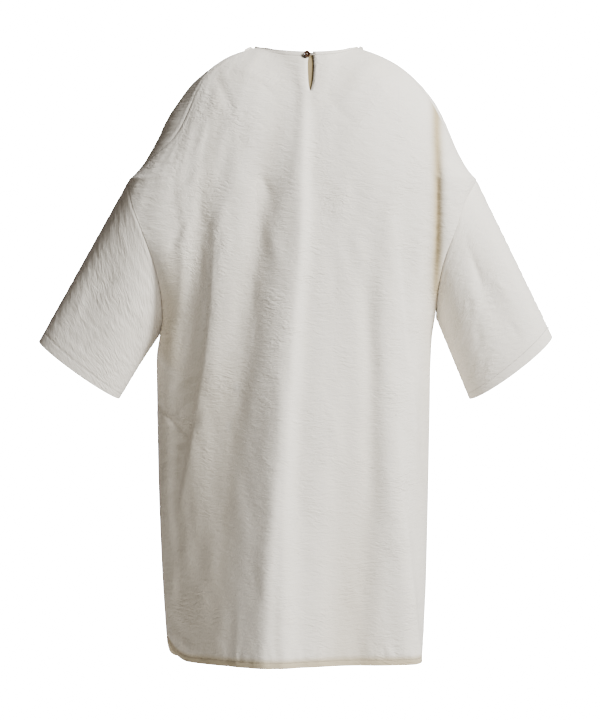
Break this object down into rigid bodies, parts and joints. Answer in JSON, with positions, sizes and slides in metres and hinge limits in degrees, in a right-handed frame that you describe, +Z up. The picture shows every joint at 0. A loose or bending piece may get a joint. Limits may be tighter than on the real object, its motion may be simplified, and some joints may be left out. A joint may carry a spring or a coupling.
{
  "type": "crinkled tunic manteau, filled out with no wearer",
  "caption": "Loose hollow tunic manteau with drop shoulders, wide sleeves, a round neck and a buttoned slit at the back neck.",
  "frame": {"origin": "middle of the neck opening, level with the two side neck points, where the shoulders hold the garment up", "axes": "+Z up, +X to the wearer's left, the front faces -Y and the pictured back faces +Y"},
  "size_m": [0.8212, 0.2865, 0.9791],
  "materials": {
    "cloth": "matt crinkled crepe",
    "facing_cloth": "matt, smoother side of the same cloth",
    "button_resin": "polished, tortoiseshell brown",
    "loop_thread": "matt twisted thread"
  },
  "bodies": {
    "root": {"back_panel": "cloth", "front_panel": "cloth", "sleeve_left": "cloth", "sleeve_right": "cloth", "back_neck_facing": "facing_cloth", "slit_underlap": "facing_cloth", "pocket_bag_left": "facing_cloth", "pocket_bag_right": "facing_cloth", "button": "button_resin", "button_loop": "loop_thread"}
  },
  "joints": []
}
